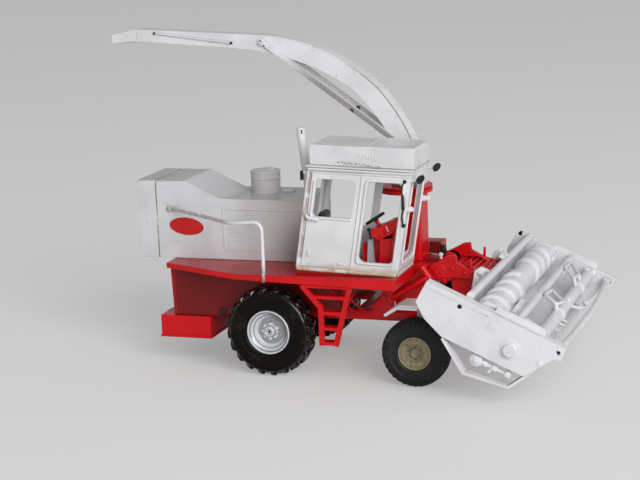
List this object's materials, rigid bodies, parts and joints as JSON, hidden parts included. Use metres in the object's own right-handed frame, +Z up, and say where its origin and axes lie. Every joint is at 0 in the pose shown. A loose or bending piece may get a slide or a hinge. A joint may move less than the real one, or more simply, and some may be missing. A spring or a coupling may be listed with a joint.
{
  "type": "forage harvester scale model",
  "caption": "Scale model of a self-propelled forage harvester with a side cab, an arched discharge spout on a turntable, a pickup header and rolling wheels.",
  "frame": {"origin": "on the ground, under the middle of the overall length and width", "axes": "+X forwards, the way the model drives; +Y to its left; +Z up"},
  "size_m": [0.0882, 0.0522, 0.0604],
  "materials": {
    "white_paint": "satin",
    "red_paint": "satin",
    "drive_tyre": "gloss",
    "steer_tyre": "matte",
    "silver_rim": "satin",
    "dull_rim": "matte",
    "black_trim": "satin",
    "grey_plate": "matte"
  },
  "bodies": {
    "chassis": {"air_cleaner": "white_paint", "cab_door": "white_paint", "cab_floor": "white_paint", "cab_front_frame": "white_paint", "cab_left_wall": "white_paint", "cab_rear_wall": "white_paint", "cab_right_wall": "white_paint", "cab_roof": "white_paint", "chassis_frame": "red_paint", "chopper_housing": "red_paint", "console": "red_paint", "deck": "red_paint", "drive_axle": "red_paint", "duct_column": "red_paint", "exhaust_pipe": "white_paint", "front_guard_left": "white_paint", "front_guard_right": "white_paint", "handrail": "white_paint", "headlamps": "black_trim", "hood": "white_paint", "ladder": "red_paint", "lift_cylinders": "red_paint", "pedal_plate": "grey_plate", "radiator_housing": "white_paint", "rear_body": "red_paint", "rear_box": "red_paint", "rear_lamp": "black_trim", "seat": "black_trim", "steer_axle": "red_paint", "steering_column": "red_paint", "steering_wheel": "black_trim", "tow_hitch": "red_paint", "turntable": "red_paint", "wiper": "black_trim"},
    "drive_wheel_right": {"drive_rim_right": "silver_rim", "drive_tyre_right": "drive_tyre"},
    "drive_wheel_left": {"drive_rim_left": "silver_rim", "drive_tyre_left": "drive_tyre"},
    "steer_wheel_right": {"steer_rim_right": "dull_rim", "steer_tyre_right": "steer_tyre"},
    "steer_wheel_left": {"steer_rim_left": "dull_rim", "steer_tyre_left": "steer_tyre"},
    "spout": {"spout": "white_paint", "spout_brace": "white_paint", "spout_flange": "red_paint", "spout_flap": "white_paint"},
    "header": {"auger": "white_paint", "feeder_arms": "red_paint", "feeder_house": "red_paint", "front_bar": "white_paint", "header_cross_tubes": "white_paint", "header_hitch": "white_paint", "header_panel_left": "white_paint", "header_panel_right": "white_paint", "header_skids": "white_paint", "header_trough": "white_paint", "knife_bar": "white_paint", "knife_drive": "white_paint", "reel_pipe": "white_paint"}
  },
  "joints": [
    {"name": "drive_wheel_right_spin", "type": "hinge", "parent": "chassis", "child": "drive_wheel_right", "pos_m": [-0.0109, -0.0132, 0.00805], "axis": [0, 1, 0], "continuous": true},
    {"name": "drive_wheel_left_spin", "type": "hinge", "parent": "chassis", "child": "drive_wheel_left", "pos_m": [-0.0109, 0.0132, 0.00805], "axis": [0, 1, 0], "continuous": true},
    {"name": "steer_wheel_right_spin", "type": "hinge", "parent": "chassis", "child": "steer_wheel_right", "pos_m": [0.0162, -0.015, 0.00595], "axis": [0, 1, 0], "continuous": true},
    {"name": "steer_wheel_left_spin", "type": "hinge", "parent": "chassis", "child": "steer_wheel_left", "pos_m": [0.0162, 0.015, 0.00595], "axis": [0, 1, 0], "continuous": true},
    {"name": "spout_swivel", "type": "hinge", "parent": "chassis", "child": "spout", "pos_m": [0.0108, 0, 0.0319], "axis": [0, 0, 1], "range_deg": [-110, 40]},
    {"name": "header_lift", "type": "hinge", "parent": "chassis", "child": "header", "pos_m": [0.01769, 0, 0.018], "axis": [0, -1, 0], "range_deg": [-6, 18]}
  ]
}
